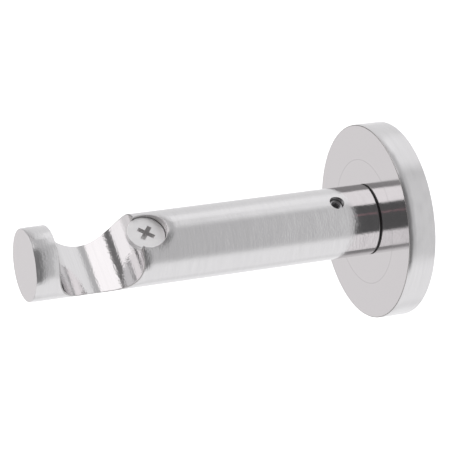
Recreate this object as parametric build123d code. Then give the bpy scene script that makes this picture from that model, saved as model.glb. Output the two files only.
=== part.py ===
from build123d import *
import os

# Curtain pole bracket: a round bar with a saddle for the pole, on a turned wall rose.
# The wall is the plane y = 0, the arm projects along -Y, +Z is up and the pole lies along X.
# Rose, wall plate and spigot share the Y axis. The arm sits a little higher, because its set
# screw lifts it on the spigot until the play in the socket is taken up.
# All sizes are in millimetres.

# Rose: a disc that covers the wall plate
ROSE_D = 55.0
ROSE_T = 8.0
ROSE_ROLL_L = 2.0  # front edge, rolled off by polishing: length along the rim
ROSE_ROLL_D = 0.15  # and drop of the radius
ROSE_BACK_CHAMFER = 0.15
RING_W = 0.3  # fine turned ring on the face, over the wall of the recess behind it
RING_DEPTH = 0.05

# Wall plate: a disc let into the back of the rose
PLATE_D = 34.5
PLATE_T = 4.0
PLATE_CHAMFER = 0.4
PLATE_PLAY = 0.35  # radial, in the recess
PLATE_GAP = 0.3  # under the rose, so that the rose closes on the wall
WALL_HOLE_D = 4.5
WALL_HOLE_SPACING = 22.0
WALL_SINK_D = 8.6  # countersink for a 90 degree head

# Spigot: a turned pin riveted into the plate
SPIGOT_D = 10.0
SPIGOT_CHAMFER = 1.0
SPIGOT_PAST_SET = 10.2  # from the set screw's axis to the pin's end
SPIGOT_PLAY = 0.15  # radial, in the rose
TAIL_D = 6.0
RIVET_D = 8.0  # spread end of the tail, flush with the plate
TAIL_FIT = 0.02  # radial

# Arm: a solid bar
ARM_D = 20.0
ARM_L = 100.8
END_ROLL_L = 3.0  # free end, rolled off by polishing: length along the bar
END_ROLL_D = 0.15  # and drop of the radius
ROOT_CHAMFER = 0.25
SOCKET_PLAY = 2.3  # on the diameter, round the spigot
SOCKET_SPARE = 2.0  # past the spigot's end
SEAT_GAP = 0.05  # left where a curved face bears on another
THREAD_PLAY = 0.05  # radial

# Saddle: a cut across the bar for the pole, with a round floor and upright walls
SADDLE_D = 23.6
LIP_T = 6.6  # bar left in front of it
FLOOR_T = 4.05  # bar left under it
SADDLE_CHAMFER = 0.2  # its edge on the bar

# Pole screw: a flat wide head in a pocket that opens into the saddle
SCREW_BACK = 2.65  # from the saddle's rear wall to the screw's axis
SCREW_D = 5.0
SCREW_L = 12.0  # under the head
HEAD_D = 10.6
HEAD_T = 1.6
HEAD_CHAMFER = 0.15
HEAD_SINK = 2.45  # top of the head below the top of the bar
HEAD_PLAY = 0.1  # radial, in the pocket
CROSS_SPAN = 4.7
CROSS_WING = 1.3
CROSS_DEPTH = 2.2
CROSS_TURN = 50.0  # degrees

# Set screw: headless, with a hexagon socket
SET_FROM_ROSE = 11.8
SET_D = 4.0
SET_RECESS = 1.3  # below the top of the bar
SET_CHAMFER = 0.35
HEX_AF = 2.0
HEX_DEPTH = 2.0

# Sizes and places that follow
ARM_R = ARM_D / 2
RECESS_D = PLATE_D + 2 * PLATE_PLAY
RECESS_T = PLATE_T + PLATE_GAP
SPIGOT_REACH = SET_FROM_ROSE + SPIGOT_PAST_SET
SOCKET_D = SPIGOT_D + SOCKET_PLAY
ARM_LIFT = SOCKET_PLAY / 2 - SEAT_GAP
FREE_END = ROSE_T + ARM_L
SADDLE_FROM_END = LIP_T + SADDLE_D / 2
SADDLE_AXIS_Z = ARM_LIFT - ARM_R + FLOOR_T + SADDLE_D / 2
SCREW_FROM_END = LIP_T + SADDLE_D + SCREW_BACK
HEAD_SEAT_Z = ARM_LIFT + ARM_R - HEAD_SINK - HEAD_T
SET_TOP_Z = ARM_LIFT + ARM_R - SET_RECESS
SET_TIP_Z = SPIGOT_D / 2 + SEAT_GAP

# Frames: local +Z points from the wall into the room, local Y stays up
FROM_WALL = Plane(origin=(0, 0, 0), x_dir=(1, 0, 0), z_dir=(0, -1, 0))
SCREW_SEAT = Pos(0, SCREW_FROM_END - FREE_END, HEAD_SEAT_Z)
SET_AXIS = Pos(0, -ROSE_T - SET_FROM_ROSE, 0)
UP_FROM = (Align.CENTER, Align.CENTER, Align.MIN)
DOWN_FROM = (Align.CENTER, Align.CENTER, Align.MAX)


def rod(diameter: float, start: float, end: float, lift: float = 0.0) -> Part:
    """A round bar along the bracket's axis, between two distances from the wall."""
    return FROM_WALL * Pos(0, lift, start) * Cylinder(diameter / 2, end - start, align=UP_FROM)


def rolled(diameter: float, start: float, end: float, roll_l: float, roll_d: float) -> Part:
    """A round bar on the bracket's axis, whose edge away from the wall is rolled off by an arc."""
    radius = diameter / 2
    straight, edge = (radius, roll_l - end), (radius - roll_d, -end)
    sides = Polyline(edge, (0, -end), (0, -start), (radius, -start), straight)
    roll = TangentArc(straight, edge, tangent=(0, -1))
    return revolve(make_face([sides, roll]), Axis.Y)


def turned(*profile: tuple) -> Part:
    """A solid of revolution about the bracket's axis, from (radius, distance) corners."""
    outline = Polyline(*[(radius, -distance) for radius, distance in profile], close=True)
    return revolve(make_face(outline), Axis.Y)


def make_rose() -> Part:
    """The disc, with its recess for the plate, its hole and the ring on its face."""
    rose = rolled(ROSE_D, 0, ROSE_T, ROSE_ROLL_L, ROSE_ROLL_D)
    rims = rose.edges().filter_by(GeomType.CIRCLE).sort_by(Axis.Y)
    rose = chamfer(rims[-1], ROSE_BACK_CHAMFER)
    rose -= rod(RECESS_D, 0, RECESS_T)
    rose -= rod(SPIGOT_D + 2 * SPIGOT_PLAY, 0, ROSE_T)
    ring = RECESS_D / 2
    rose -= turned(
        (ring - RING_W / 2, ROSE_T), (ring + RING_W / 2, ROSE_T), (ring, ROSE_T - RING_DEPTH)
    )
    return rose


def make_wall_plate() -> Part:
    """The disc behind the rose, countersunk at the front for two wall screws."""
    plate = rod(PLATE_D, 0, PLATE_T)
    plate = chamfer(plate.edges().sort_by(Axis.Y)[0], PLATE_CHAMFER)
    rivet_h = (RIVET_D - TAIL_D) / 2
    plate -= rod(TAIL_D + 2 * TAIL_FIT, 0, PLATE_T)
    plate -= turned(
        (0, 0), (RIVET_D / 2 + TAIL_FIT, 0), (TAIL_D / 2 + TAIL_FIT, rivet_h), (0, rivet_h)
    )
    sink_h = (WALL_SINK_D - WALL_HOLE_D) / 2
    for side in (-1, 1):
        place = FROM_WALL * Pos(0, side * WALL_HOLE_SPACING / 2, PLATE_T)
        plate -= place * Cylinder(WALL_HOLE_D / 2, PLATE_T, align=DOWN_FROM)
        plate -= place * Cone(WALL_HOLE_D / 2, WALL_SINK_D / 2, sink_h, align=DOWN_FROM)
    return plate


def make_spigot() -> Part:
    """The pin, with a shoulder on the plate and a tail spread into the plate's back."""
    end = ROSE_T + SPIGOT_REACH
    return turned(
        (0, 0),
        (RIVET_D / 2, 0),
        (TAIL_D / 2, (RIVET_D - TAIL_D) / 2),
        (TAIL_D / 2, PLATE_T),
        (SPIGOT_D / 2, PLATE_T),
        (SPIGOT_D / 2, end - SPIGOT_CHAMFER),
        (SPIGOT_D / 2 - SPIGOT_CHAMFER, end),
        (0, end),
    )


def make_arm() -> Part:
    """The bar, with its saddle, the screw's pocket, the socket and the tapped holes."""
    arm = Pos(0, 0, ARM_LIFT) * rolled(ARM_D, ROSE_T, FREE_END, END_ROLL_L, END_ROLL_D)
    ends = arm.edges().filter_by(GeomType.CIRCLE).sort_by(Axis.Y)
    arm = chamfer(ends[-1], ROOT_CHAMFER)

    saddle_axis = Pos(0, SADDLE_FROM_END - FREE_END, SADDLE_AXIS_Z)
    saddle = Rot(0, 90, 0) * Cylinder(SADDLE_D / 2, 2 * ARM_D)
    saddle += Box(2 * ARM_D, SADDLE_D, ARM_D, align=UP_FROM)
    bar_edges = arm.edges()
    arm -= saddle_axis * saddle
    rim = [edge for edge in arm.edges() - bar_edges if edge.geom_type != GeomType.LINE]
    arm = chamfer(rim, SADDLE_CHAMFER)

    arm -= SCREW_SEAT * Cylinder(HEAD_D / 2 + HEAD_PLAY, ARM_D, align=UP_FROM)
    tapped = SCREW_L + SCREW_D / 2
    arm -= SCREW_SEAT * Cylinder(SCREW_D / 2 + THREAD_PLAY, tapped, align=DOWN_FROM)

    arm -= rod(SOCKET_D, ROSE_T, ROSE_T + SPIGOT_REACH + SOCKET_SPARE, ARM_LIFT)
    hole = Cylinder(SET_D / 2 + THREAD_PLAY, ARM_R, align=UP_FROM)
    arm -= SET_AXIS * Pos(0, 0, ARM_LIFT) * hole
    return arm


def cross_recess() -> Part:
    """A cross whose wings draw in with depth, cut down from z = 0."""
    wings = Box(CROSS_SPAN, CROSS_WING, CROSS_DEPTH, align=DOWN_FROM)
    wings += Box(CROSS_WING, CROSS_SPAN, CROSS_DEPTH, align=DOWN_FROM)
    return wings & Cone(CROSS_WING, CROSS_SPAN / 2, CROSS_DEPTH, align=DOWN_FROM)


def make_pole_screw() -> Part:
    """The screw that holds the pole, its head seated on the pocket's floor."""
    head = Cylinder(HEAD_D / 2, HEAD_T, align=UP_FROM)
    head = chamfer(head.edges().filter_by(GeomType.CIRCLE).sort_by(Axis.Z)[-1], HEAD_CHAMFER)
    screw = head + Cylinder(SCREW_D / 2, SCREW_L, align=DOWN_FROM)
    screw -= Pos(0, 0, HEAD_T) * Rot(0, 0, CROSS_TURN) * cross_recess()
    return SCREW_SEAT * screw


def make_set_screw() -> Part:
    """The headless screw, from its end below the bar's surface down to the spigot."""
    length = SET_TOP_Z - SET_TIP_Z
    screw = Cylinder(SET_D / 2, length, align=UP_FROM)
    screw = chamfer(screw.edges().filter_by(GeomType.CIRCLE), SET_CHAMFER)
    socket = extrude(RegularPolygon(HEX_AF / 2, 6, major_radius=False), amount=-HEX_DEPTH)
    screw -= Pos(0, 0, length) * socket
    return SET_AXIS * Pos(0, 0, SET_TIP_Z) * screw


PIECES = {
    "arm": make_arm,
    "rose": make_rose,
    "wall_plate": make_wall_plate,
    "spigot": make_spigot,
    "pole_screw": make_pole_screw,
    "set_screw": make_set_screw,
}

os.makedirs("parts", exist_ok=True)
for name, make in PIECES.items():
    export_step(make(), f"parts/{name}.step")
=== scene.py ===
"""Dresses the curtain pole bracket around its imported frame.

Sizes are in millimetres, and MM turns them into the scene's metres. The wall is the
plane y = 0, the arm points along -Y, +Z is up and the pole would lie along X.
"""

import logging
import math
from dataclasses import dataclass, field
from enum import Enum, IntEnum
from typing import Any, Sequence

import bmesh
import bpy
from mathutils import Matrix, Vector


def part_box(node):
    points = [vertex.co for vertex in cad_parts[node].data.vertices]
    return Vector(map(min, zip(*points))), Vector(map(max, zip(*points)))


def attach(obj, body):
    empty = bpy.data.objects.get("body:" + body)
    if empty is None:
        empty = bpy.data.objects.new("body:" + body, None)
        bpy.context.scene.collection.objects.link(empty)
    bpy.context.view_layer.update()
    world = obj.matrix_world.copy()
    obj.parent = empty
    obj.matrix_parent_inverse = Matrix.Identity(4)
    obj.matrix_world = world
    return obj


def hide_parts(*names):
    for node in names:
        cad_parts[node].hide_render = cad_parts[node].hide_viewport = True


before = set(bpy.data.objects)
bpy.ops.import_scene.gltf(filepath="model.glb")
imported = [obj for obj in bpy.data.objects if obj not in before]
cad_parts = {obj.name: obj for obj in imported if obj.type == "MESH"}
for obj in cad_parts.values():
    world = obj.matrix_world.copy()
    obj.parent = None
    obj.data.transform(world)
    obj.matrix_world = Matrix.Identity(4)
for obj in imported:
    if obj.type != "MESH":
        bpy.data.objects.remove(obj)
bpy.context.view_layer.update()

log = logging.getLogger("bracket")

MM = 0.001
BODY = "root"
IMAGE_PX = 450
MERGE = 1e-7  # metres within which vertices are one
TOUCH = 1e-6  # metres within which a vertex is on an edge
SHARP_ANGLE = math.radians(32)
FLAT_WEIGHT = 100  # how far large faces lead the shading
FULL_TURN = 2 * math.pi
ALL_ROUND = 180  # degrees to each side
OVERCUT = 1.0  # how far a cutter reaches past the face that it cuts
ROLL_STEPS = 12  # sides of a rolled edge's arc
HOLE_STEPS = 96  # faces round a small hole or screw
HEX_SIDES = 6


class Node(str, Enum):
    """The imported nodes."""

    ARM = "arm"
    ROSE = "rose"
    WALL_PLATE = "wall_plate"
    SPIGOT = "spigot"
    POLE_SCREW = "pole_screw"
    SET_SCREW = "set_screw"


class Slot(str, Enum):
    """The record's material slots of the pieces that are made again."""

    ROSE = "rose_steel"
    PLATE = "plate_steel"
    SCREW = "screw_steel"
    SET_SCREW = "set_screw_steel"


class Lay(Enum):
    """The way in which the marks of a finish run."""

    ROUND_BAR = "round the bar, across its length"
    RINGS = "rings about the axis, on a face that was turned"
    WITH_POLE = "straight, along the pole"


class BoreAxis(IntEnum):
    """The axis that a bore runs along, numbered as in a vector."""

    POLE = 0
    UPRIGHT = 2


class RosePart(IntEnum):
    """The parts of the rose with a finish of their own, in the order of its materials."""

    RIM = 0
    FACE = 1
    BACK = 2
    # the ring groove's faces, which get painted shade
    RING = 3
    EDGE = 4


class Change(Enum):
    """What a shape does to a piece, as a Boolean modifier names it."""

    CUT = "DIFFERENCE"
    JOIN = "UNION"


@dataclass(frozen=True)
class Extent:
    """A node's box at rest, in millimetres."""

    low: Vector
    high: Vector

    @classmethod
    def of(cls, node: Node) -> "Extent":
        """Reads a node's box from the frame.

        Args:
            node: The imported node.

        Returns:
            Its box.
        """
        low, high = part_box(node.value)
        return cls(low / MM, high / MM)

    @property
    def centre(self) -> Vector:
        """The middle of the box."""
        return (self.low + self.high) / 2

    @property
    def size(self) -> Vector:
        """The box's three sides."""
        return self.high - self.low


class NodeBench:
    """Adds and links nodes in one node tree."""

    def __init__(self, tree: bpy.types.NodeTree) -> None:
        """Takes the tree to work in."""
        self.tree = tree

    @classmethod
    def emptied(cls, owner: bpy.types.Material | bpy.types.World) -> "NodeBench":
        """Empties the node tree of a material or a world and gives a bench on it."""
        owner.use_nodes = True
        owner.node_tree.nodes.clear()
        return cls(owner.node_tree)

    def add(self, kind: str, **settings: Any) -> bpy.types.Node:
        """Adds a node.

        Args:
            kind: The node's type name, without its ShaderNode prefix.
            settings: Attributes of the node.

        Returns:
            The new node.
        """
        node = self.tree.nodes.new(kind if kind.startswith("Node") else "ShaderNode" + kind)
        for name, value in settings.items():
            setattr(node, name, value)
        return node

    def feed(self, socket: bpy.types.NodeSocket, value: Any) -> None:
        """Links another socket to a socket, or sets its value."""
        if isinstance(value, bpy.types.NodeSocket):
            self.tree.links.new(value, socket)
        else:
            socket.default_value = value

    def math(self, operation: str, *values: Any) -> bpy.types.NodeSocket:
        """Adds a Math node.

        Args:
            operation: Its operation.
            values: A number or a socket for each input.

        Returns:
            Its output.
        """
        node = self.add("Math", operation=operation)
        for socket, value in zip(node.inputs, values):
            self.feed(socket, value)
        return node.outputs[0]

    def noise(self, vector: Any, scale: float, detail: float) -> bpy.types.NodeSocket:
        """Adds a Noise Texture.

        Args:
            vector: The coordinates.
            scale: Cells in a unit of the coordinates.
            detail: Octaves.

        Returns:
            Its grey output.
        """
        node = self.add("TexNoise")
        self.feed(node.inputs["Vector"], vector)
        node.inputs["Scale"].default_value = scale
        node.inputs["Detail"].default_value = detail
        return node.outputs[0]

    def step(
        self, value: Any, low: float, high: float, start: float = 0.0, end: float = 1.0
    ) -> bpy.types.NodeSocket:
        """Adds a smooth step.

        Args:
            value: What is stepped.
            low: Where the step starts.
            high: Where it ends.
            start: The output before it.
            end: The output after it.

        Returns:
            The stepped value.
        """
        node = self.add("MapRange", interpolation_type="SMOOTHSTEP")
        for socket, number in zip(node.inputs, (value, low, high, start, end)):
            self.feed(socket, number)
        return node.outputs[0]

    def split(self, vector: bpy.types.NodeSocket) -> Sequence[bpy.types.NodeSocket]:
        """Splits a vector into its three parts."""
        node = self.add("SeparateXYZ")
        self.feed(node.inputs[0], vector)
        return node.outputs

    def length(self, first: Any, second: Any) -> bpy.types.NodeSocket:
        """Gives the length of a vector with two parts."""
        squares = self.math("MULTIPLY_ADD", first, first, self.math("MULTIPLY", second, second))
        return self.math("SQRT", squares)

    def mix(self, share: Any, first: Any, second: Any) -> bpy.types.NodeSocket:
        """Mixes two numbers by a share and returns the result."""
        node = self.add("Mix", data_type="FLOAT")
        for index, value in ((0, share), (2, first), (3, second)):
            self.feed(node.inputs[index], value)
        return node.outputs[0]

    def mix_colour(self, share: Any, first: Any, second: Any) -> bpy.types.NodeSocket:
        """Mixes two colours by a share and returns the result."""
        node = self.add("Mix", data_type="RGBA")
        for index, value in ((0, share), (6, first), (7, second)):
            self.feed(node.inputs[index], value)
        return node.outputs[2]


def new_group(name: str, takes: Sequence[str], kind: str, gives: Sequence[str]) -> NodeBench:
    """Starts a node group.

    Args:
        name: Its name.
        takes: Its inputs.
        kind: The type of their sockets.
        gives: Its outputs, which are numbers.

    Returns:
        The group's bench.
    """
    tree = bpy.data.node_groups.new(name, "ShaderNodeTree")
    for socket in takes:
        tree.interface.new_socket(socket, in_out="INPUT", socket_type=kind)
    for socket in gives:
        tree.interface.new_socket(socket, in_out="OUTPUT", socket_type="NodeSocketFloat")
    return NodeBench(tree)


def brush_marks() -> bpy.types.NodeTree:
    """Builds the group of marks that abrasive or a lathe tool leaves on metal.

    Returns:
        A group from a place across and along the marks, in pitches and runs, to a
        height and a tone, both between 0 and 1.
    """
    name = "brush_marks"
    if name in bpy.data.node_groups:
        return bpy.data.node_groups[name]
    bench = new_group(name, ("Across", "Along"), "NodeSocketFloat", ("Height", "Tone"))
    start, end = bench.add("NodeGroupInput"), bench.add("NodeGroupOutput")
    place = bench.add("CombineXYZ")
    bench.feed(place.inputs[0], start.outputs["Across"])
    bench.feed(place.inputs[1], start.outputs["Along"])
    fine = bench.noise(place.outputs[0], scale=1.0, detail=3.0)
    wide = bench.noise(place.outputs[0], scale=0.27, detail=2.0)
    height = bench.mix(share=0.4, first=fine, second=wide)
    bench.feed(end.inputs["Height"], height)
    bench.feed(end.inputs["Tone"], bench.step(height, low=0.3, high=0.7))
    return bench.tree


def handling_marks() -> bpy.types.NodeTree:
    """Builds the group of faint clouding and small scuffs on handled metal.

    Returns:
        A group from a place in millimetres to a cloud and a scuff, both between 0 and 1.
    """
    name = "handling_marks"
    if name in bpy.data.node_groups:
        return bpy.data.node_groups[name]
    bench = new_group(name, ("Place",), "NodeSocketVector", ("Cloud", "Scuff"))
    start, end = bench.add("NodeGroupInput"), bench.add("NodeGroupOutput")
    bench.feed(end.inputs["Cloud"], bench.noise(start.outputs["Place"], scale=0.11, detail=2.0))
    specks = bench.noise(start.outputs["Place"], scale=1.6, detail=4.0)
    bench.feed(end.inputs["Scuff"], bench.step(specks, low=0.70, high=0.78))
    return bench.tree


@dataclass(frozen=True)
class Coat:
    """What one finish gives at each place: sockets of a material's node tree.

    Attributes:
        colour: The metal's colour.
        roughness: Its roughness.
        height: The height of its marks in millimetres.
    """

    colour: bpy.types.NodeSocket
    roughness: bpy.types.NodeSocket
    height: bpy.types.NodeSocket


@dataclass(frozen=True)
class SteelFinish:
    """A bare metal finish: its colour, its gloss and the marks on it.

    Attributes:
        tint: The metal's colour, seen straight on.
        roughness: How far it blurs what it reflects.
        lay: The way its marks run.
        pitch: Millimetres from mark to mark.
        run: Millimetres that a mark runs for.
        depth: Millimetres from the top to the bottom of a mark.
        tone: How far marks change the roughness.
        shade: How far marks change the colour.
        grain_pitch: Millimetres from grain to grain.
        grain: Depth of the grain in millimetres.
        wave_pitch: Millimetres from wave to wave of an uneven polish.
        wave: Depth of the waves in millimetres.
        scuff: How far scuffs change the colour.
        axis_z: Height of the turned axis, in millimetres.
    """

    tint: tuple[float, float, float]
    roughness: float
    lay: Lay
    pitch: float = 0.3
    run: float = 14.0
    depth: float = 0.0008
    tone: float = 0.04
    shade: float = 0.05
    grain_pitch: float = 0.5
    grain: float = 0.0
    wave_pitch: float = 5.0
    wave: float = 0.0
    scuff: float = 0.06
    axis_z: float = 0.0

    def coat(self, bench: NodeBench, place: bpy.types.NodeSocket) -> Coat:
        """Lays the finish out in a material.

        Args:
            bench: The material's bench.
            place: The place on the piece in millimetres.

        Returns:
            The finish at each place.
        """
        across, along = self._lay_places(bench, place)
        marks = bench.add("Group", node_tree=brush_marks())
        bench.feed(marks.inputs["Across"], bench.math("DIVIDE", across, self.pitch))
        bench.feed(marks.inputs["Along"], bench.math("DIVIDE", along, self.run))
        handling = bench.add("Group", node_tree=handling_marks())
        bench.feed(handling.inputs["Place"], place)
        rough = bench.math("MULTIPLY_ADD", marks.outputs["Tone"], self.tone, self.roughness - self.tone)
        rough = bench.math("MULTIPLY_ADD", handling.outputs["Cloud"], self.tone, rough)
        height = bench.math("MULTIPLY", marks.outputs["Height"], self.depth)
        for pitch, depth in ((self.grain_pitch, self.grain), (self.wave_pitch, self.wave)):
            if depth:
                bumps = bench.noise(place, 1 / pitch, detail=1.0)
                height = bench.math("MULTIPLY_ADD", bumps, depth, height)
        return Coat(self._colour(bench, marks, handling), rough, height)

    def _lay_places(self, bench: NodeBench, place: bpy.types.NodeSocket) -> tuple[Any, Any]:
        """Splits a place into millimetres across and along the marks.

        Args:
            bench: The material's bench.
            place: The place in millimetres.

        Returns:
            The place across the marks, and the place along them.
        """
        x, y, z = bench.split(place)
        z = bench.math("SUBTRACT", z, self.axis_z)
        if self.lay is Lay.WITH_POLE:
            return bench.math("ADD", y, z), x
        radius = bench.length(x, z)
        arc = bench.math("MULTIPLY", bench.math("ARCTAN2", x, z), radius)
        return (y, arc) if self.lay is Lay.ROUND_BAR else (radius, arc)

    def _colour(
        self, bench: NodeBench, marks: bpy.types.Node, handling: bpy.types.Node
    ) -> bpy.types.NodeSocket:
        """Varies the tint a little with the marks and lightens it at scuffs.

        Args:
            bench: The material's bench.
            marks: The group of brush marks.
            handling: The group of handling marks.

        Returns:
            The colour.
        """
        light = bench.math("MULTIPLY_ADD", marks.outputs["Tone"], self.shade, 1 - self.shade / 2)
        light = bench.math("MULTIPLY_ADD", handling.outputs["Scuff"], self.scuff, light)
        colour = bench.add("VectorMath", operation="SCALE")
        colour.inputs[0].default_value = self.tint
        bench.feed(colour.inputs["Scale"], light)
        return colour.outputs[0]


@dataclass(frozen=True)
class Roll:
    """Bar rolled off by polishing, up to an edge.

    Attributes:
        reach: Millimetres from the edge to where the roll starts.
        slope: How steep it is at the edge.
        uneven: How far the slope changes from place to place.
        patch: Millimetres from patch to patch of the changes.
    """

    reach: float
    slope: float
    uneven: float = 0.5
    patch: float = 2.5

    def height(
        self, bench: NodeBench, place: bpy.types.NodeSocket, distance: Any
    ) -> bpy.types.NodeSocket:
        """Gives the roll's height in millimetres, below zero.

        Args:
            bench: The material's bench.
            place: The place in millimetres.
            distance: Millimetres from the edge.

        Returns:
            The height.
        """
        inward = bench.math("SUBTRACT", 1.0, bench.math("DIVIDE", distance, self.reach))
        inward = bench.math("MINIMUM", bench.math("MAXIMUM", inward, 0.0), 1.0)
        patches = bench.noise(place, 1 / self.patch, detail=2.0)
        share = bench.math("MULTIPLY_ADD", patches, 2 * self.uneven, 1 - self.uneven)
        drop = bench.math("MULTIPLY", bench.math("MULTIPLY", inward, inward), share)
        return bench.math("MULTIPLY", drop, -self.slope * self.reach / 2)


@dataclass(frozen=True)
class BoreZone:
    """The part of a piece inside a cylinder.

    Attributes:
        finish: The finish there.
        axis: The cylinder's axis.
        centre: A point on the axis.
        radius: The cylinder's radius.
        soft: Millimetres over which the zone fades.
        above: Height under which the zone ends.
        roll: The rolled edge round the zone.
    """

    finish: SteelFinish
    axis: BoreAxis
    centre: Vector
    radius: float
    soft: float = 0.04
    above: float = -1000.0
    roll: Roll | None = None

    def distance(self, bench: NodeBench, place: bpy.types.NodeSocket) -> bpy.types.NodeSocket:
        """Gives the distance from the cylinder, below zero inside it."""
        sides = [
            bench.math("SUBTRACT", value, self.centre[index])
            for index, value in enumerate(bench.split(place))
            if index != self.axis
        ]
        return bench.math("SUBTRACT", bench.length(*sides), self.radius)

    def mask(self, bench: NodeBench, place: bpy.types.NodeSocket) -> bpy.types.NodeSocket:
        """Gives 1 inside the zone and 0 outside it."""
        inside = bench.step(self.distance(bench, place), 0.0, self.soft, 1.0, 0.0)
        over = bench.step(bench.split(place)[2], self.above - self.soft, self.above)
        return bench.math("MULTIPLY", inside, over)


@dataclass(frozen=True)
class EndZone:
    """The part of a piece past a distance along the bar.

    Attributes:
        finish: The finish there.
        start: Where the zone starts, as a y in millimetres.
        towards: 1 for a zone towards the wall, -1 for a zone away from it.
        soft: Millimetres over which the zone fades.
        roll: The rolled edge before the zone.
    """

    finish: SteelFinish
    start: float
    towards: int
    soft: float = 0.04
    roll: Roll | None = None

    def distance(self, bench: NodeBench, place: bpy.types.NodeSocket) -> bpy.types.NodeSocket:
        """Gives the distance from the zone, below zero inside it."""
        y = bench.split(place)[1]
        return bench.math("MULTIPLY_ADD", y, -self.towards, self.start * self.towards)

    def mask(self, bench: NodeBench, place: bpy.types.NodeSocket) -> bpy.types.NodeSocket:
        """Gives 1 inside the zone and 0 outside it."""
        return bench.step(self.distance(bench, place), 0.0, self.soft, 1.0, 0.0)


@dataclass(frozen=True)
class Steel:
    """The material of a piece: its finish, and the zones that have another one.

    Attributes:
        name: The material's name.
        finish: The finish of most of the piece.
        zones: The zones, where a later one lies over an earlier one.
        edge_round: Millimetres by which sharp edges look rounded.
        bare: How far it mirrors as bare metal does.
    """

    name: str
    finish: SteelFinish
    zones: tuple[BoreZone | EndZone, ...] = ()
    edge_round: float = 0.0
    bare: float = 1.0

    def material(self) -> bpy.types.Material:
        """Builds the material, or returns it if it is there.

        Returns:
            The material.
        """
        if self.name in bpy.data.materials:
            return bpy.data.materials[self.name]
        material = bpy.data.materials.new(self.name)
        bench = NodeBench.emptied(material)
        coordinates = bench.add("TexCoord")
        mapping = bench.add("Mapping")
        mapping.inputs["Scale"].default_value = (1 / MM,) * 3
        bench.feed(mapping.inputs["Vector"], coordinates.outputs["Object"])
        coat = self._coat(bench, mapping.outputs[0])
        steel = bench.add("BsdfPrincipled")
        steel.inputs["Metallic"].default_value = self.bare
        bench.feed(steel.inputs["Base Color"], coat.colour)
        bench.feed(steel.inputs["Roughness"], coat.roughness)
        bump = bench.add("Bump")
        bump.inputs["Distance"].default_value = MM
        bench.feed(bump.inputs["Height"], coat.height)
        if self.edge_round:
            edges = bench.add("Bevel", samples=8)
            edges.inputs["Radius"].default_value = self.edge_round * MM
            bench.feed(bump.inputs["Normal"], edges.outputs[0])
        bench.feed(steel.inputs["Normal"], bump.outputs[0])
        bench.feed(bench.add("OutputMaterial").inputs["Surface"], steel.outputs[0])
        return material

    def _coat(self, bench: NodeBench, place: bpy.types.NodeSocket) -> Coat:
        """Lays out the finish, then the rolled edges and then the zones.

        Args:
            bench: The material's bench.
            place: The place on the piece in millimetres.

        Returns:
            What is seen at each place.
        """
        coat = self.finish.coat(bench, place)
        for zone in self.zones:
            if zone.roll:
                roll = zone.roll.height(bench, place, zone.distance(bench, place))
                coat = Coat(coat.colour, coat.roughness, bench.math("ADD", coat.height, roll))
        for zone in self.zones:
            over, share = zone.finish.coat(bench, place), zone.mask(bench, place)
            coat = Coat(
                bench.mix_colour(share, coat.colour, over.colour),
                bench.mix(share, coat.roughness, over.roughness),
                bench.mix(share, coat.height, over.height),
            )
        return coat


@dataclass(frozen=True)
class SoftPanel:
    """A lit or unlit panel of the studio, round the bracket's axis.

    Attributes:
        centre: Degrees round the axis, from straight up towards +X.
        half: Half its width in degrees, or ALL_ROUND.
        level: Its brightness.
        soft: Degrees over which its sides fade.
        near: The y of the direction in which it starts, from -1 in the room to 1 behind the wall.
        far: The y of the direction in which it ends.
        near_fade: Half the stretch of y over which its start fades.
        far_fade: Half the stretch of y over which its end fades.
        tint: Its colour.
    """

    centre: float
    half: float
    level: float
    soft: float = 4.0
    near: float = -2.0
    far: float = 2.0
    near_fade: float = 0.04
    far_fade: float = 0.04
    tint: tuple[float, float, float] = (1.0, 1.0, 1.0)

    def mask(
        self, bench: NodeBench, ring: bpy.types.NodeSocket, y: bpy.types.NodeSocket
    ) -> bpy.types.NodeSocket:
        """Gives 1 on the panel and 0 off it.

        Args:
            bench: The world's bench.
            ring: The direction round the axis.
            y: The y of the direction.

        Returns:
            The mask.
        """
        start = bench.step(y, self.near - self.near_fade, self.near + self.near_fade)
        end = bench.step(y, self.far - self.far_fade, self.far + self.far_fade, 1.0, 0.0)
        share = bench.math("MULTIPLY", start, end)
        if self.half >= ALL_ROUND:
            return share
        angle = math.radians(self.centre)
        facing = bench.add("VectorMath", operation="DOT_PRODUCT")
        bench.feed(facing.inputs[0], ring)
        facing.inputs[1].default_value = (math.sin(angle), 0.0, math.cos(angle))
        outer, inner = (math.cos(math.radians(self.half + side)) for side in (self.soft, -self.soft))
        return bench.math("MULTIPLY", share, bench.step(facing.outputs["Value"], outer, inner))

    @property
    def colour(self) -> tuple[float, float, float, float]:
        """Its light."""
        red, green, blue = (part * self.level for part in self.tint)
        return red, green, blue, 1.0


ROOM_TINT = (1.0, 0.975, 0.985)
WALL_TINT = (0.99, 0.99, 1.0)
PINK = (1.0, 0.62, 0.68)

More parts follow.
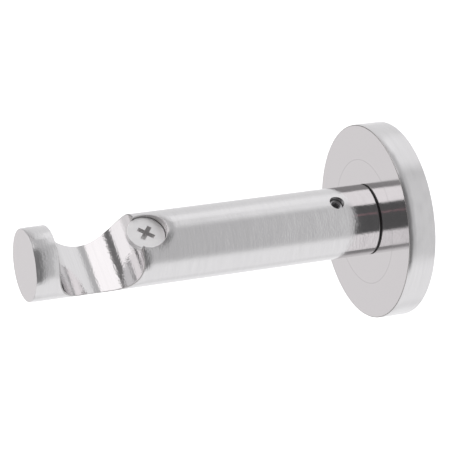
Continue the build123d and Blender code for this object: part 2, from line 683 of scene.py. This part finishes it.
CEILING_BACK = SoftPanel(centre=30, half=51, level=0.6, soft=14, near=0.0, tint=WALL_TINT)
CEILING_EDGE = SoftPanel(
    centre=37, half=50, level=0.8, soft=13, near=0.435, near_fade=0.015, tint=WALL_TINT
)
BACK_LEFT = SoftPanel(
    centre=-46, half=32, level=0.97, soft=10, near=0.37, near_fade=0.03, tint=WALL_TINT
)
BACK_STREAK = SoftPanel(
    centre=-58, half=9, level=1.05, soft=7, near=0.3, far=0.437, far_fade=0.01, tint=WALL_TINT
)
BACK_RIGHT = SoftPanel(centre=123, half=31, level=1.0, soft=13, near=0.0, tint=WALL_TINT)
BACK_FLOOR = SoftPanel(centre=200, half=32, level=1.0, soft=12, near=0.0, tint=WALL_TINT)
LEFT_SEAM = SoftPanel(centre=-28, half=14, level=0.58, near=0.06, far=0.3, far_fade=0.07, tint=WALL_TINT)
LEFT_BOX = SoftPanel(centre=-44, half=31, level=1.3, near=-0.68, far=0.06, tint=ROOM_TINT)
LEFT_GAP = SoftPanel(centre=-52, half=22, level=0.2, near=-0.9, far=-0.69, tint=ROOM_TINT)
FRONT_BOX = SoftPanel(centre=-108, half=42, level=1.18, far=-0.66, tint=ROOM_TINT)
CAMERA_HAZE = SoftPanel(centre=43, half=52, level=0.22, soft=15, far=0.22, far_fade=0.1, tint=WALL_TINT)
CAMERA_GAP = SoftPanel(centre=34, half=46, level=0.13, far=-0.1, tint=WALL_TINT)
PINK_STRIP = SoftPanel(centre=19, half=1.5, level=0.4, soft=1, far=0.0, tint=PINK)
RIGHT_WALL = SoftPanel(centre=112, half=31, level=0.85, soft=5, far=-0.4, tint=ROOM_TINT)
RIGHT_BOX = SoftPanel(
    centre=112, half=31, level=1.4, soft=5, near=-0.435, far=-0.1, near_fade=0.015, tint=ROOM_TINT
)
ROOM_FLOOR = SoftPanel(centre=201, half=30, level=0.84, soft=12, far=0.1, tint=ROOM_TINT)


@dataclass(frozen=True)
class Studio:
    """The light, the floor and the camera.

    Attributes:
        surround: The studio where no panel is.
        back: The half of it behind the wall.
        panels: What is set up round the bracket, where a later one lies over an earlier one.
        floor_drop: Millimetres from the bracket's axis to the floor.
        floor_side: The floor's side in millimetres.
        floor_tint: The floor's colour.
        floor_lift: Light added to the floor as the camera sees it.
        camera_place: The camera's place in millimetres.
        camera_aim: The point that the camera looks at.
        camera_roll: Degrees by which the camera is turned about its axis.
        focal_px: The focal length in pixels of the photograph's frame.
        sensor_width: Width of the camera's sensor in millimetres.
        clip_start: Millimetres from the camera at which the picture starts.
    """

    surround: SoftPanel = SoftPanel(centre=0, half=ALL_ROUND, level=0.36, tint=ROOM_TINT)
    back: SoftPanel = SoftPanel(
        centre=0, half=ALL_ROUND, level=0.85, near=0.16, near_fade=0.12, tint=WALL_TINT
    )
    panels: tuple[SoftPanel, ...] = (
        BACK_LEFT,
        BACK_STREAK,
        CEILING_BACK,
        CEILING_EDGE,
        BACK_RIGHT,
        BACK_FLOOR,
        LEFT_SEAM,
        CAMERA_HAZE,
        CAMERA_GAP,
        PINK_STRIP,
        LEFT_BOX,
        LEFT_GAP,
        FRONT_BOX,
        RIGHT_WALL,
        RIGHT_BOX,
        ROOM_FLOOR,
    )
    floor_drop: float = 250.0
    floor_side: float = 3000.0
    floor_tint: tuple[float, float, float] = (0.8, 0.8, 0.8)
    floor_lift: float = 0.8
    camera_place: tuple[float, float, float] = (310.70, -277.59, 461.77)
    camera_aim: tuple[float, float, float] = (-5.08, -48.94, 0.0)
    camera_roll: float = 21.36
    focal_px: float = 2185.95
    sensor_width: float = 36.0
    clip_start: float = 10.0

    def set_up(self) -> None:
        """Makes the surround, the floor and the camera."""
        bpy.context.scene.view_settings.view_transform = "Standard"
        self._surround()
        self._floor()
        self._camera()

    def _surround(self) -> None:
        """Paints the studio that the metal reflects, with a white background."""
        world = bpy.data.worlds.new("studio")
        bpy.context.scene.world = world
        bench = NodeBench.emptied(world)
        coordinates = bench.add("TexCoord")
        x, y, z = bench.split(coordinates.outputs["Generated"])
        flat = bench.add("CombineXYZ")
        bench.feed(flat.inputs[0], x)
        bench.feed(flat.inputs[2], z)
        ring = bench.add("VectorMath", operation="NORMALIZE")
        bench.feed(ring.inputs[0], flat.outputs[0])

        light: Any = self.surround.colour
        for panel in (self.back, *self.panels):
            light = bench.mix_colour(panel.mask(bench, ring.outputs[0], y), light, panel.colour)

        path = bench.add("LightPath")
        studio = bench.add("Background")
        bench.feed(studio.inputs["Color"], light)
        white = bench.add("Background")
        white.inputs["Color"].default_value = (1.0, 1.0, 1.0, 1.0)
        chosen = bench.add("MixShader")
        bench.feed(chosen.inputs[0], path.outputs["Is Camera Ray"])
        bench.feed(chosen.inputs[1], studio.outputs[0])
        bench.feed(chosen.inputs[2], white.outputs[0])
        bench.feed(bench.add("OutputWorld").inputs["Surface"], chosen.outputs[0])

    def _floor(self) -> None:
        """Lays the pale floor well below the bracket."""
        bm = bmesh.new()
        place = Matrix.Translation((0.0, 0.0, -self.floor_drop * MM))
        half = self.floor_side * MM / 2
        bmesh.ops.create_grid(bm, x_segments=1, y_segments=1, size=half, matrix=place)
        floor = new_object("floor", bm)
        material = bpy.data.materials.new("floor_paint")
        bench = NodeBench.emptied(material)
        matt = bench.add("BsdfDiffuse")
        matt.inputs["Color"].default_value = (*self.floor_tint, 1.0)
        path = bench.add("LightPath")
        glow = bench.add("Emission")
        lift = bench.math("MULTIPLY", path.outputs["Is Camera Ray"], self.floor_lift)
        bench.feed(glow.inputs["Strength"], lift)
        both = bench.add("AddShader")
        bench.feed(both.inputs[0], matt.outputs[0])
        bench.feed(both.inputs[1], glow.outputs[0])
        bench.feed(bench.add("OutputMaterial").inputs["Surface"], both.outputs[0])
        floor.data.materials.append(material)
        floor.visible_glossy = False

    def _camera(self) -> None:
        """Sets the camera where the photograph was taken from."""
        lens = bpy.data.cameras.new("camera")
        lens.sensor_width = self.sensor_width
        lens.lens = self.focal_px * self.sensor_width / IMAGE_PX
        lens.clip_start = self.clip_start * MM
        camera = bpy.data.objects.new("camera", lens)
        bpy.context.scene.collection.objects.link(camera)
        place = Vector(self.camera_place) * MM
        look = Vector(self.camera_aim) * MM - place
        turn = look.to_track_quat("-Z", "Y").to_matrix().to_4x4()
        roll = Matrix.Rotation(math.radians(self.camera_roll), 4, "Z")
        camera.matrix_world = Matrix.Translation(place) @ turn @ roll
        bpy.context.scene.camera = camera


def new_object(name: str, bm: bmesh.types.BMesh) -> bpy.types.Object:
    """Turns a bmesh into an object of the scene and frees it.

    Args:
        name: The object's name.
        bm: The mesh, in metres, in its place.

    Returns:
        The object, at the origin.
    """
    mesh = bpy.data.meshes.new(name)
    bm.to_mesh(mesh)
    bm.free()
    made = bpy.data.objects.new(name, mesh)
    bpy.context.scene.collection.objects.link(made)
    return made


def turned(profile: Sequence[tuple[float, float]], steps: int = 256) -> bmesh.types.BMesh:
    """Spins an outline about the bracket's axis.

    Args:
        profile: Corners as radius and distance from the wall. An outline that isn't
            closed starts and ends on the axis.
        steps: Faces in a full turn.

    Returns:
        The closed shape.
    """
    bm = bmesh.new()
    corners = [bm.verts.new((radius * MM, -distance * MM, 0.0)) for radius, distance in profile]
    sides = [bm.edges.new(pair) for pair in zip(corners, corners[1:])]
    bmesh.ops.spin(
        bm,
        geom=corners + sides,
        cent=(0.0, 0.0, 0.0),
        axis=(0.0, 1.0, 0.0),
        angle=FULL_TURN,
        steps=steps,
        use_merge=True,
    )
    bmesh.ops.remove_doubles(bm, verts=bm.verts, dist=MERGE)
    bmesh.ops.recalc_face_normals(bm, faces=bm.faces)
    return bm


def round_edges(
    bm: bmesh.types.BMesh, edges: Sequence[bmesh.types.BMEdge], width: float, steps: int = 4
) -> None:
    """Rounds edges of a shape.

    Args:
        bm: The shape.
        edges: Its edges.
        width: How far the rounding reaches.
        steps: Faces across the rounding.
    """
    bmesh.ops.bevel(
        bm,
        geom=edges,
        offset=width * MM,
        offset_type="OFFSET",
        affect="EDGES",
        segments=steps,
        profile=0.5,
        material=-1,
    )


def round_rim(bm: bmesh.types.BMesh, radius: float, distance: float, width: float) -> None:
    """Rounds the circular edge of a turned shape.

    Args:
        bm: The turned shape.
        radius: The edge's radius.
        distance: The edge's distance from the wall.
        width: How far the rounding reaches.
    """

    def on_rim(vert: bmesh.types.BMVert) -> bool:
        """Tells whether a vertex lies on the edge."""
        out = math.hypot(vert.co.x, vert.co.z)
        return abs(out - radius * MM) < TOUCH and abs(vert.co.y + distance * MM) < TOUCH

    rim = [edge for edge in bm.edges if all(on_rim(vert) for vert in edge.verts)]
    round_edges(bm, rim, width)


def drum(
    diameter: float, y: float, low: float, high: float, top: float | None = None, steps: int = 192
) -> bmesh.types.BMesh:
    """Makes an upright round bar, or a cone, over the bracket's axis.

    Args:
        diameter: Its diameter, at the bottom of a cone.
        y: The y of its own axis.
        low: The height of its bottom.
        high: The height of its top.
        top: A cone's diameter at the top.
        steps: Faces in a full turn.

    Returns:
        The closed shape.
    """
    bm = bmesh.new()
    bmesh.ops.create_cone(
        bm,
        cap_ends=True,
        cap_tris=False,
        segments=steps,
        radius1=diameter / 2 * MM,
        radius2=(diameter if top is None else top) / 2 * MM,
        depth=(high - low) * MM,
        matrix=Matrix.Translation((0.0, y * MM, (low + high) / 2 * MM)),
    )
    return bm


def combine(body: bpy.types.Object, change: Change, bm: bmesh.types.BMesh, steel: Steel) -> None:
    """Cuts a shape out of a piece, or joins it on, for good.

    Args:
        body: The piece.
        change: What the shape does to it.
        bm: The shape.
        steel: The finish of the faces that come from the shape.
    """
    tool = new_object("tool", bm)
    tool.data.materials.append(steel.material())
    modifier = body.modifiers.new("change", "BOOLEAN")
    modifier.operation = change.value
    modifier.solver = "EXACT"
    modifier.material_mode = "TRANSFER"
    modifier.object = tool
    graph = bpy.context.evaluated_depsgraph_get()
    done = bpy.data.meshes.new_from_object(body.evaluated_get(graph))
    clean = bmesh.new()
    clean.from_mesh(done)
    bmesh.ops.dissolve_degenerate(clean, edges=clean.edges, dist=MERGE)
    clean.to_mesh(done)
    clean.free()
    body.modifiers.clear()
    old, body.data = body.data, done
    done.name = body.name
    used = tool.data
    bpy.data.objects.remove(tool)
    for mesh in (old, used):
        bpy.data.meshes.remove(mesh)


def smooth(piece: bpy.types.Object) -> None:
    """Shades a piece smooth, with its real edges kept sharp and its flat faces flat."""
    piece.data.shade_smooth()
    piece.data.set_sharp_from_angle(angle=SHARP_ANGLE)
    normals = piece.modifiers.new("flat_faces", "WEIGHTED_NORMAL")
    normals.mode = "FACE_AREA"
    normals.weight = FLAT_WEIGHT
    normals.keep_sharp = True


def hand_over(piece: bpy.types.Object, node: Node) -> bpy.types.Object:
    """Lets a finished piece stand for its node.

    Args:
        piece: The piece.
        node: The node that it replaces.

    Returns:
        The piece.
    """
    smooth(piece)
    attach(piece, BODY)
    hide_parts(node.value)
    return piece


def rolled_off(radius: float, end: float, length: float, drop: float) -> list[tuple[float, float]]:
    """Gives the outline of a rim whose end was rolled off by polishing.

    Args:
        radius: The rim's radius.
        end: The rim's end, as a distance from the wall.
        length: How far the rolled stretch reaches along the rim.
        drop: How far its end lies under the radius.

    Returns:
        Corners as radius and distance, up to the end.
    """
    curve = (length**2 + drop**2) / (2 * drop)
    sweep = math.asin(length / curve)
    centre = (radius - curve, end - length)
    angles = [sweep * step / ROLL_STEPS for step in range(ROLL_STEPS + 1)]
    return [(centre[0] + curve * math.cos(a), centre[1] + curve * math.sin(a)) for a in angles]


STEEL_TINT = (0.73, 0.72, 0.725)
BAR_AXIS_Z = Extent.of(Node.ARM).centre.z

BRUSHED_BAR = SteelFinish(
    STEEL_TINT, 0.12, Lay.ROUND_BAR, run=5, depth=0.013, grain=0.018, wave=0.04, axis_z=BAR_AXIS_Z
)
BRUSHED_RIM = SteelFinish(STEEL_TINT, 0.14, Lay.ROUND_BAR, depth=0.002, wave=0.08)
POLISHED_CUT = SteelFinish(STEEL_TINT, 0.06, Lay.WITH_POLE, depth=0.001, tone=0.02, grain=0.028, wave=0.02)
TURNED_FACE = SteelFinish(STEEL_TINT, 0.1, Lay.RINGS, depth=0.0001, tone=0.01, shade=0.008)
TURNED_END = SteelFinish(
    STEEL_TINT, 0.16, Lay.RINGS, depth=0.0001, tone=0.01, shade=0.008, axis_z=BAR_AXIS_Z
)
# Painted shade: a near-black colour on the end of the bar at the rose, standing in for the shade in the
# joint.
SHADED_JOINT = SteelFinish((0.12, 0.12, 0.12), 0.5, Lay.ROUND_BAR, axis_z=BAR_AXIS_Z)
BROKEN_EDGE = SteelFinish((0.5, 0.49, 0.485), 0.4, Lay.ROUND_BAR)
# Painted shade: a darker colour on the faces of the fine ring groove in the rose's face, drawing the
# groove as a dark line.
GROOVE_PAINTED_SHADE = SteelFinish((0.65, 0.64, 0.645), 0.2, Lay.RINGS, depth=0.0001)
MILLED_POCKET = SteelFinish((0.82, 0.81, 0.81), 0.25, Lay.ROUND_BAR, depth=0.002)
PLAIN_BORE = SteelFinish((0.62, 0.62, 0.62), 0.3, Lay.ROUND_BAR)
PLATED = SteelFinish((0.99, 0.985, 0.985), 0.45, Lay.RINGS, depth=0.001)
# Painted shade: the cross recess is coloured darker than the head's own plating.
RECESS_PAINTED_SHADE = SteelFinish((0.76, 0.75, 0.75), 0.5, Lay.RINGS, depth=0.001)
DARK_PLATED = SteelFinish((0.6, 0.6, 0.61), 0.3, Lay.RINGS, depth=0.001)
# Painted shade: the socket and its lead-in cone are coloured darker than the screw's own plating.
SOCKET_PAINTED_SHADE = SteelFinish((0.35, 0.35, 0.36), 0.5, Lay.RINGS, depth=0.001)
PLAIN_TURNED = SteelFinish((0.62, 0.62, 0.63), 0.3, Lay.RINGS, depth=0.002)

FACE_STEEL = Steel("turned_face", TURNED_FACE)
PLAIN_STEEL = Steel("plain_turned", PLAIN_TURNED)
SCREW_STEEL = Steel("screw_plating", PLATED, bare=0.4)
DARK_STEEL = Steel("dark_plating", DARK_PLATED)
RECESS_SHADE_STEEL = Steel("recess_painted_shade", RECESS_PAINTED_SHADE, bare=0.3)
SOCKET_SHADE_STEEL = Steel("socket_painted_shade", SOCKET_PAINTED_SHADE, bare=0.2)
EDGE_STEEL = Steel("broken_edge", BROKEN_EDGE)
GROOVE_SHADE_STEEL = Steel("groove_painted_shade", GROOVE_PAINTED_SHADE)


@dataclass
class Arm:
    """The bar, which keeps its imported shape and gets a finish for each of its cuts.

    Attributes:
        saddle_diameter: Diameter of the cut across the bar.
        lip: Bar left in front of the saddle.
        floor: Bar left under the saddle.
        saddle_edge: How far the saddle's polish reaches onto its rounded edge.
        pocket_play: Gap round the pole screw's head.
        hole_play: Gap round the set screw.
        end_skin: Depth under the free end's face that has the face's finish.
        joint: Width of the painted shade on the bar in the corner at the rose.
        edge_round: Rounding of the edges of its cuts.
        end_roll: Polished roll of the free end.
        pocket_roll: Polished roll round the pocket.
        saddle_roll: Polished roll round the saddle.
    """

    saddle_diameter: float = 23.6
    lip: float = 6.6
    floor: float = 4.05
    saddle_edge: float = 0.25
    pocket_play: float = 0.1
    hole_play: float = 0.05
    end_skin: float = 0.03
    joint: float = 0.41
    edge_round: float = 0.2
    end_roll: Roll = Roll(reach=4.2, slope=0.035, patch=1.8)
    pocket_roll: Roll = Roll(reach=2.6, slope=0.19, uneven=0.2)
    saddle_roll: Roll = Roll(reach=3.0, slope=0.14, uneven=0.4)
    bar: Extent = field(default_factory=lambda: Extent.of(Node.ARM))

    def build(self) -> bpy.types.Object:
        """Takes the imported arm, whose shape stays as it is."""
        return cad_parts[Node.ARM.value]

    def dress(self, arm: bpy.types.Object) -> bpy.types.Object:
        """Gives the bar and its cuts their finishes.

        Args:
            arm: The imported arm.

        Returns:
            The arm.
        """
        zones = (*self._saddle(), self._pocket(), self._set_screw_hole(), self._free_end(), self._root())
        steel = Steel("brushed_bar", BRUSHED_BAR, zones, self.edge_round)
        arm.material_slots[0].material = steel.material()
        return arm

    def _saddle(self) -> tuple[BoreZone, BoreZone]:
        """The broken edge of the cut that the pole lies in, and the cut."""
        radius = self.saddle_diameter / 2
        centre = Vector((0.0, self.bar.low.y + self.lip + radius, self.bar.low.z + self.floor + radius))
        rim = radius + self.saddle_edge
        edge = BoreZone(BROKEN_EDGE, BoreAxis.POLE, centre, rim, roll=self.saddle_roll)
        return edge, BoreZone(POLISHED_CUT, BoreAxis.POLE, centre, radius)

    def _pocket(self) -> BoreZone:
        """The pocket that takes the pole screw's head."""
        screw = PoleScrew()
        radius = screw.extent.size.x / 2 + self.pocket_play
        centre, floor = screw.extent.centre, screw.seat
        return BoreZone(
            MILLED_POCKET, BoreAxis.UPRIGHT, centre, radius, above=floor, roll=self.pocket_roll
        )

    def _set_screw_hole(self) -> BoreZone:
        """The tapped hole of the set screw."""
        screw = Extent.of(Node.SET_SCREW)
        radius = screw.size.x / 2 + self.hole_play
        return BoreZone(PLAIN_BORE, BoreAxis.UPRIGHT, screw.centre, radius, above=screw.low.z)

    def _free_end(self) -> EndZone:
        """The turned face of the free end."""
        return EndZone(TURNED_END, self.bar.low.y + self.end_skin, -1, self.end_skin / 2, self.end_roll)

    def _root(self) -> EndZone:
        """The chamfer in the corner at the rose, coloured near black as painted shade in the joint."""
        return EndZone(SHADED_JOINT, self.bar.high.y - self.joint, 1, self.joint / 4)


@dataclass
class Rose:
    """The turned disc on the wall.

    Attributes:
        roll_length: How far the rolled front edge reaches along the rim.
        roll_drop: How far it lies under the rim's radius.
        edge_roll: Polished roll of the rim up to the face.
        face_round: Rounding between it and the face.
        back_round: Rounding of the back edge.
        ring_width: Width of the fine ring on the face.
        ring_depth: Its depth.
        recess_play: Gap round the wall plate.
        recess_gap: Gap over the wall plate.
        hole_play: Gap round the spigot.
        front_lean: How far a face of the front looks into the room, at least.
        flat_lean: The same for its flat part.
        front_share: Share of the thickness past which the front lies.
        inner_share: Share of the radius that the rim lies past.
    """

    roll_length: float = 2.0
    roll_drop: float = 0.15
    edge_roll: Roll = Roll(reach=2.4, slope=0.1, uneven=0.2)
    face_round: float = 0.2
    back_round: float = 0.15
    ring_width: float = 0.3
    ring_depth: float = 0.03
    recess_play: float = 0.35
    recess_gap: float = 0.3
    hole_play: float = 0.15
    front_lean: float = 0.3
    flat_lean: float = 0.99
    front_share: float = 0.9
    inner_share: float = 0.95
    disc: Extent = field(default_factory=lambda: Extent.of(Node.ROSE))

    def build(self) -> bpy.types.Object:
        """Turns the disc with its ring, its recess and its hole.

        Returns:
            The rose.
        """
        plate, spigot = Extent.of(Node.WALL_PLATE), Extent.of(Node.SPIGOT)
        radius, face = self.disc.size.x / 2, self.disc.size.y
        recess, depth = plate.size.x / 2 + self.recess_play, plate.size.y + self.recess_gap
        hole = spigot.size.x / 2 + self.hole_play
        outline = [
            (recess, 0),
            (radius, 0),
            *rolled_off(radius, face, self.roll_length, self.roll_drop),
            (recess + self.ring_width / 2, face),
            (recess, face - self.ring_depth),
            (recess - self.ring_width / 2, face),
            (hole, face),
            (hole, depth),
            (recess, depth),
            (recess, 0),
        ]
        bm = turned(outline, steps=360)
        round_rim(bm, radius - self.roll_drop, face, self.face_round)
        round_rim(bm, radius, 0, self.back_round)
        return new_object("wall_rose", bm)

    def dress(self, rose: bpy.types.Object) -> bpy.types.Object:
        """Gives the flat faces and the rim their finishes and hands the rose over.

        Args:
            rose: The built rose.

        Returns:
            The rose.
        """
        edge = EndZone(TURNED_FACE, self.disc.low.y, -1, roll=self.edge_roll)
        rim = Steel("brushed_rim", BRUSHED_RIM, (edge,))
        # The ring groove's faces get a darker colour, painted shade in the groove.
        for steel in (rim, FACE_STEEL, PLAIN_STEEL, GROOVE_SHADE_STEEL, EDGE_STEEL):
            rose.data.materials.append(steel.material())
        for face in rose.data.polygons:
            face.material_index = self._part(face)
        return hand_over(rose, Node.ROSE)

    def _part(self, face: bpy.types.MeshPolygon) -> RosePart:
        """Tells which part of the rose a face of its mesh is on.

        Args:
            face: The face.

        Returns:
            The part.
        """
        lean, depth = -face.normal.y, -face.center.y / MM
        front = lean > self.front_lean and depth > self.front_share * self.disc.size.y
        out = math.hypot(face.center.x, face.center.z) / MM
        inner = out < self.inner_share * self.disc.size.x / 2
        if not front:
            return RosePart.BACK if inner else RosePart.RIM
        if lean > self.flat_lean:
            return RosePart.FACE
        return RosePart.RING if inner else RosePart.EDGE


@dataclass
class WallFixing:
    """The plate behind the rose and the spigot riveted into it.

    Attributes:
        plate_round: Broken edge of the plate's front.
        hole_diameter: Diameter of the wall screws' holes.
        hole_spacing: Distance between them.
        sink_diameter: Diameter of their countersinks.
        tail_diameter: Diameter of the spigot's tail.
        rivet_diameter: Diameter of the tail's spread end.
        tail_fit: Gap round the tail.
        spigot_chamfer: Chamfer of the spigot's end.
    """

    plate_round: float = 0.4
    hole_diameter: float = 4.5
    hole_spacing: float = 22.0
    sink_diameter: float = 8.6
    tail_diameter: float = 6.0
    rivet_diameter: float = 8.0
    tail_fit: float = 0.02
    spigot_chamfer: float = 1.0
    plate: Extent = field(default_factory=lambda: Extent.of(Node.WALL_PLATE))
    pin: Extent = field(default_factory=lambda: Extent.of(Node.SPIGOT))

    def build(self) -> tuple[bpy.types.Object, bpy.types.Object]:
        """Makes the plate and the spigot.

        Returns:
            The plate, and the spigot.
        """
        return self._build_plate(), self._build_spigot()

    def _build_plate(self) -> bpy.types.Object:
        """Turns the plate and countersinks its holes."""
        radius, thick = self.plate.size.x / 2, self.plate.size.y
        tail, spread = self.tail_diameter / 2 + self.tail_fit, self.rivet_diameter / 2 + self.tail_fit
        outline = [
            (spread, 0),
            (radius, 0),
            (radius, thick),
            (tail, thick),
            (tail, spread - tail),
            (spread, 0),
        ]
        bm = turned(outline)
        round_rim(bm, radius, thick, self.plate_round)
        plate = new_object("wall_plate_disc", bm)
        plate.data.materials.append(PLAIN_STEEL.material())
        hole, sink = self.hole_diameter / 2, self.sink_diameter / 2
        drill = [
            (0, -OVERCUT),
            (hole, -OVERCUT),
            (hole, thick + hole - sink),
            (sink + OVERCUT, thick + OVERCUT),
            (0, thick + OVERCUT),
        ]
        for side in (-1, 1):
            cutter = turned(drill, HOLE_STEPS)
            rise = side * self.hole_spacing / 2 * MM
            bmesh.ops.translate(cutter, verts=cutter.verts, vec=(0.0, 0.0, rise))
            combine(plate, Change.CUT, cutter, PLAIN_STEEL)
        return plate

    def _build_spigot(self) -> bpy.types.Object:
        """Turns the spigot with its shoulder, tail and spread end."""
        radius, end, shoulder = self.pin.size.x / 2, self.pin.size.y, self.plate.size.y
        tail, spread = self.tail_diameter / 2, self.rivet_diameter / 2
        outline = [
            (0, 0),
            (spread, 0),
            (tail, spread - tail),
            (tail, shoulder),
            (radius, shoulder),
            (radius, end - self.spigot_chamfer),
            (radius - self.spigot_chamfer, end),
            (0, end),
        ]
        spigot = new_object("spigot_pin", turned(outline, steps=128))
        spigot.data.materials.append(PLAIN_STEEL.material())
        return spigot

    def dress(self, pieces: tuple[bpy.types.Object, bpy.types.Object]) -> list[bpy.types.Object]:
        """Hands the plate and the spigot over.

        Args:
            pieces: The plate, and the spigot.

        Returns:
            Both.
        """
        plate, spigot = pieces
        return [hand_over(plate, Node.WALL_PLATE), hand_over(spigot, Node.SPIGOT)]


@dataclass
class PoleScrew:
    """The flat screw whose head holds the pole down.

    Attributes:
        shank: Diameter of the shank.
        head: Thickness of the head.
        head_round: Rounding of the head's top edge.
        cross_span: Width of the cross recess.
        cross_wing: Width of one of its wings.
        cross_depth: Its depth.
        cross_lift: How far its cutter reaches over the head.
        cross_turn: Degrees by which it is turned.
    """

    shank: float = 5.0
    head: float = 1.6
    head_round: float = 0.2
    cross_span: float = 4.7
    cross_wing: float = 1.3
    cross_depth: float = 2.2
    cross_lift: float = 0.5
    cross_turn: float = 50.0
    extent: Extent = field(default_factory=lambda: Extent.of(Node.POLE_SCREW))

    @property
    def seat(self) -> float:
        """Height of the underside of the head."""
        return self.extent.high.z - self.head

    def build(self) -> bpy.types.Object:
        """Makes the head and the shank and cuts the cross.

        Returns:
            The screw.
        """
        y, top, bottom = self.extent.centre.y, self.extent.high.z, self.extent.low.z
        shank = drum(self.shank, y, bottom, top)
        head = drum(self.extent.size.x, y, self.seat, top)
        rim = [edge for edge in head.edges if all(vert.co.z > top * MM - TOUCH for vert in edge.verts)]
        round_edges(head, rim, self.head_round)
        screw = new_object("pole_screw_flat", shank)
        screw.data.materials.append(SCREW_STEEL.material())
        combine(screw, Change.JOIN, head, SCREW_STEEL)
        # The cross's faces get a darker colour than the head, painted shade in the recess.
        combine(screw, Change.CUT, self._cross(), RECESS_SHADE_STEEL)
        return screw

    def _cross(self) -> bmesh.types.BMesh:
        """The cross recess, whose wings draw in with depth."""
        y, top = self.extent.centre.y, self.extent.high.z
        low = self.cross_wing / self.cross_span
        high = 1 + self.cross_lift / self.cross_depth * (1 - low)
        bm = bmesh.new()
        corner = self.cross_wing / math.sqrt(2) * MM
        bmesh.ops.create_circle(bm, cap_ends=False, segments=4, radius=corner)
        square = Matrix.Rotation(math.pi / 4, 3, "Z")
        bmesh.ops.rotate(bm, verts=bm.verts, cent=(0, 0, 0), matrix=square)
        bmesh.ops.contextual_create(bm, geom=bm.edges)
        reach = (self.cross_span - self.cross_wing) / 2
        core = bm.faces[:][0]
        for edge in list(core.edges):
            middle = (edge.verts[0].co + edge.verts[1].co) / 2
            grown = bmesh.ops.extrude_edge_only(bm, edges=[edge])["geom"]
            moved = [item for item in grown if isinstance(item, bmesh.types.BMVert)]
            bmesh.ops.translate(bm, verts=moved, vec=middle.normalized() * reach * MM)
        bmesh.ops.recalc_face_normals(bm, faces=bm.faces)
        raised = bmesh.ops.extrude_face_region(bm, geom=bm.faces[:])["geom"]
        upper = [item for item in raised if isinstance(item, bmesh.types.BMVert)]
        lower = [vert for vert in bm.verts if vert not in set(upper)]
        bmesh.ops.translate(bm, verts=upper, vec=(0, 0, self.cross_lift * MM))
        bmesh.ops.translate(bm, verts=lower, vec=(0, 0, -self.cross_depth * MM))
        self._draw_in(upper, high)
        self._draw_in(lower, 2 * low)
        bmesh.ops.recalc_face_normals(bm, faces=bm.faces)
        place = Matrix.Translation((0, y * MM, top * MM))
        turn = Matrix.Rotation(math.radians(self.cross_turn), 4, "Z")
        bmesh.ops.transform(bm, matrix=place @ turn, verts=bm.verts)
        return bm

    def _draw_in(self, verts: Sequence[bmesh.types.BMVert], share: float) -> None:
        """Moves the tips of the wings to a share of their reach."""
        for vert in verts:
            along = 0 if abs(vert.co.x) > abs(vert.co.y) else 1
            if abs(vert.co[along]) > self.cross_wing * MM:
                vert.co[along] *= share

    def dress(self, screw: bpy.types.Object) -> bpy.types.Object:
        """Hands the screw over.

        Args:
            screw: The built screw.

        Returns:
            The screw.
        """
        return hand_over(screw, Node.POLE_SCREW)


@dataclass
class SetScrew:
    """The headless screw that fixes the arm on the spigot.

    Attributes:
        end_round: Rounding of both ends.
        end_steps: Faces across it.
        hex_across: Width across the flats of the socket.
        hex_depth: Depth of the socket.
        lead_in: Diameter of the cone at the socket's mouth.
    """

    end_round: float = 0.35
    end_steps: int = 2
    hex_across: float = 2.0
    hex_depth: float = 2.0
    lead_in: float = 2.7
    extent: Extent = field(default_factory=lambda: Extent.of(Node.SET_SCREW))

    def build(self) -> bpy.types.Object:
        """Makes the screw and cuts its socket.

        Returns:
            The screw.
        """
        y, low, high = self.extent.centre.y, self.extent.low.z, self.extent.high.z
        bm = drum(self.extent.size.x, y, low, high, steps=HOLE_STEPS)
        rims = [edge for edge in bm.edges if abs(edge.verts[0].co.z - edge.verts[1].co.z) < MERGE]
        round_edges(bm, rims, self.end_round, self.end_steps)
        screw = new_object("set_screw_hex", bm)
        screw.data.materials.append(DARK_STEEL.material())
        corners = self.hex_across / math.cos(math.pi / HEX_SIDES)
        socket = drum(corners, y, high - self.hex_depth, high + OVERCUT, steps=HEX_SIDES)
        drop = (self.lead_in - self.hex_across) / 2
        tip, wide = self.hex_across - 2 * drop, self.lead_in + 2 * drop
        mouth = drum(tip, y, high - 2 * drop, high + drop, wide)
        for cutter in (socket, mouth):
            # The socket's faces get a darker colour than the screw, painted shade inside it.
            combine(screw, Change.CUT, cutter, SOCKET_SHADE_STEEL)
        return screw

    def dress(self, screw: bpy.types.Object) -> bpy.types.Object:
        """Hands the screw over.

        Args:
            screw: The built screw.

        Returns:
            The screw.
        """
        return hand_over(screw, Node.SET_SCREW)


def main() -> None:
    """Builds and dresses each sub-assembly, then sets up the studio."""
    logging.basicConfig(level=logging.INFO, format="%(name)s: %(message)s")
    for assembly in (Arm(), Rose(), WallFixing(), PoleScrew(), SetScrew()):
        made = assembly.dress(assembly.build())
        for piece in made if isinstance(made, list) else [made]:
            log.info("%s has %d faces", piece.name, len(piece.data.polygons))
    Studio().set_up()


if __name__ == "__main__":
    main()
